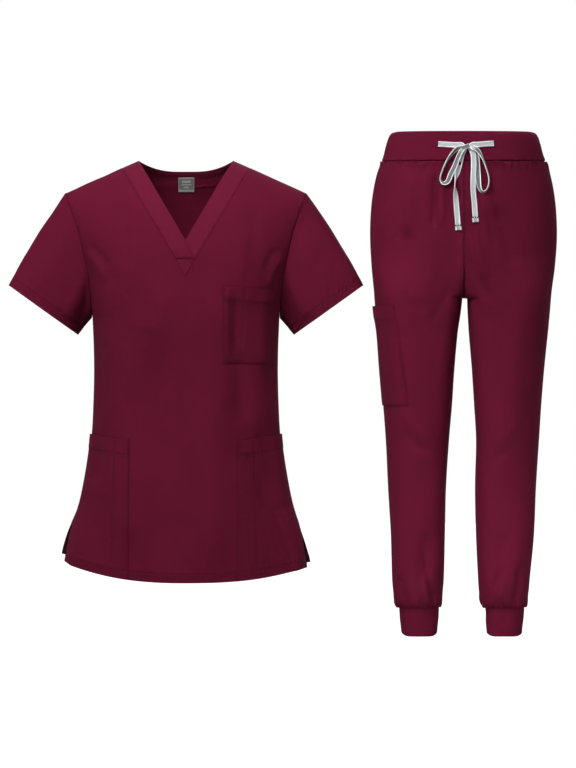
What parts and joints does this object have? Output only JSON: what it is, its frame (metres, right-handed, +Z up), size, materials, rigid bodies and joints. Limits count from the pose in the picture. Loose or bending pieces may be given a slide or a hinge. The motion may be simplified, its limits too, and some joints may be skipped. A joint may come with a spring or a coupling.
{
  "type": "medical scrubs",
  "caption": "Medical scrubs set: short-sleeved V-neck top with chest and hip pockets, and jogger trousers with a stretch waistband, drawstring, knitted cuffs and a thigh pocket.",
  "frame": {"origin": "middle of the top's shoulder line at the neck, where the wearer's neck and shoulders hold it", "axes": "+X to the wearer's left, across the set, -Y is the front of both garments, +Z up; metres"},
  "size_m": [0.9594, 0.256, 0.8827],
  "materials": {
    "cloth": "wine woven uniform cloth, plain fine twill, matt with a faint sheen",
    "knit": "wine rib knit, matt",
    "tape": "light grey flat braided tape with white edges",
    "label": "grey woven label with a lighter border, no text"
  },
  "bodies": {
    "root": {"top_front": "cloth", "top_back": "cloth", "sleeve_right": "cloth", "sleeve_left": "cloth", "neckband_right": "cloth", "neckband_left": "cloth", "neckband_back": "cloth", "neck_insert": "cloth", "chest_pocket": "cloth", "hip_pocket_right": "cloth", "hip_pocket_left": "cloth", "trouser_front_right": "cloth", "trouser_front_left": "cloth", "trouser_back_right": "cloth", "trouser_back_left": "cloth", "cargo_pocket": "cloth", "waistband": "knit", "cuff_right": "knit", "cuff_left": "knit", "drawstring_right_stretch": "tape", "drawstring_left_stretch": "tape", "drawstring_right_loop": "tape", "drawstring_left_loop": "tape", "drawstring_right_tail": "tape", "drawstring_left_tail": "tape", "drawstring_knot": "tape", "neck_label": "label"}
  },
  "joints": []
}
